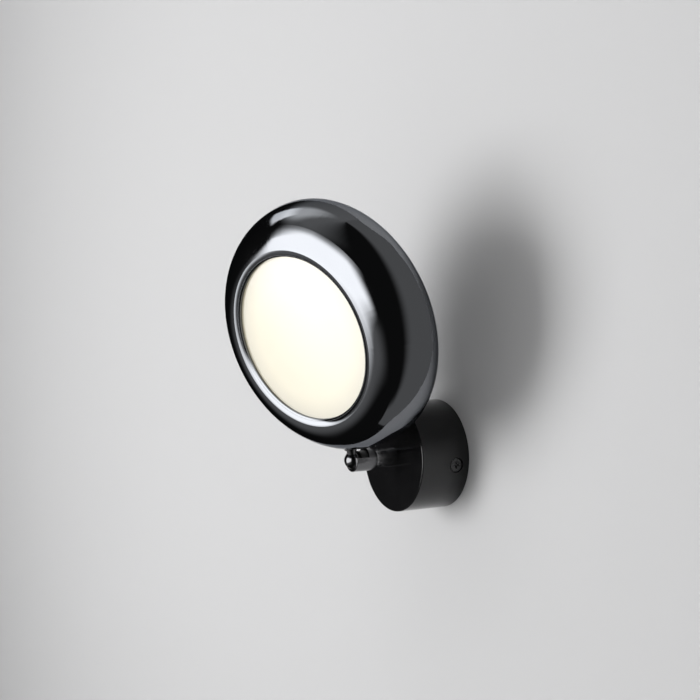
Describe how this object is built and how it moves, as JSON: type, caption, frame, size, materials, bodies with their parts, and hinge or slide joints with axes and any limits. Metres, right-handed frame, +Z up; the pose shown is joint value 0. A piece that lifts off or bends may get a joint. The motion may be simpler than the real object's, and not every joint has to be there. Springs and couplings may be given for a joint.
{
  "type": "wall spotlight",
  "caption": "Wall spotlight: round base with a short arm, and a glossy disc-shaped head that leans, swivels and turns on a ball joint.",
  "frame": {"origin": "centre of the base's rear rim, on the wall", "axes": "+Z up, +Y into the wall along the base's axis, -Y into the room, +X right seen from the room"},
  "size_m": [0.1753, 0.1542, 0.2256],
  "materials": {
    "black_lacquer": "satin black lacquer",
    "black_steel": "blackened steel",
    "zinc_steel": "zinc-plated steel",
    "black_chrome": "polished black chrome",
    "smoked_mirror": "aluminium, polished and black-chromed",
    "black_rubber": "moulded rubber",
    "terminal_plastic": "moulded nylon",
    "driver_plastic": "moulded polycarbonate",
    "brass": "plain brass",
    "nylon": "nylon",
    "opal": "opal acrylic, lit from behind",
    "white_reflector": "white-coated aluminium",
    "board_white": "white solder mask on an aluminium board",
    "led_phosphor": "phosphor-coated chips",
    "cast_aluminium": "cast aluminium"
  },
  "bodies": {
    "base": {"wall_plate": "zinc_steel", "cable_grommet": "black_rubber", "terminal_block": "terminal_plastic", "terminal_screws": "brass", "earth_screw": "brass", "driver_case": "driver_plastic", "driver_lid": "driver_plastic", "base_cover": "black_lacquer", "side_screws": "black_steel", "arm": "black_chrome", "arm_washer": "zinc_steel", "arm_nut": "zinc_steel"},
    "socket": {"socket": "black_chrome", "grub_screw": "black_steel", "ball_seat": "nylon", "disc_spring_rear": "zinc_steel", "disc_spring_front": "zinc_steel"},
    "stem": {"ball_stem": "black_chrome", "slip_ring": "nylon", "top_washer": "zinc_steel", "stem_nut": "zinc_steel"},
    "head": {"swivel_bush": "black_chrome", "bush_nut": "zinc_steel", "head_shell": "smoked_mirror", "bezel_ring": "smoked_mirror", "gasket": "black_rubber", "diffuser": "opal", "reflector": "white_reflector", "led_board": "board_white", "inner_chips": "led_phosphor", "outer_chips": "led_phosphor", "heat_sink": "cast_aluminium", "spacers": "cast_aluminium", "sink_screws": "zinc_steel"}
  },
  "joints": [
    {"name": "socket_turn", "type": "hinge", "parent": "base", "child": "socket", "pos_m": [0, -0.0733, 0], "axis": [0, 1, 0], "range_deg": [-97, 83]},
    {"name": "head_tilt", "type": "hinge", "parent": "socket", "child": "stem", "pos_m": [0, -0.0733, 0], "axis": [0.9925, 0, -0.1219], "range_deg": [-6, 76]},
    {"name": "head_swivel", "type": "hinge", "parent": "stem", "child": "head", "pos_m": [0, -0.0733, 0], "axis": [0.1182, -0.2419, 0.9631], "range_deg": [-52.4, 17.6]}
  ]
}
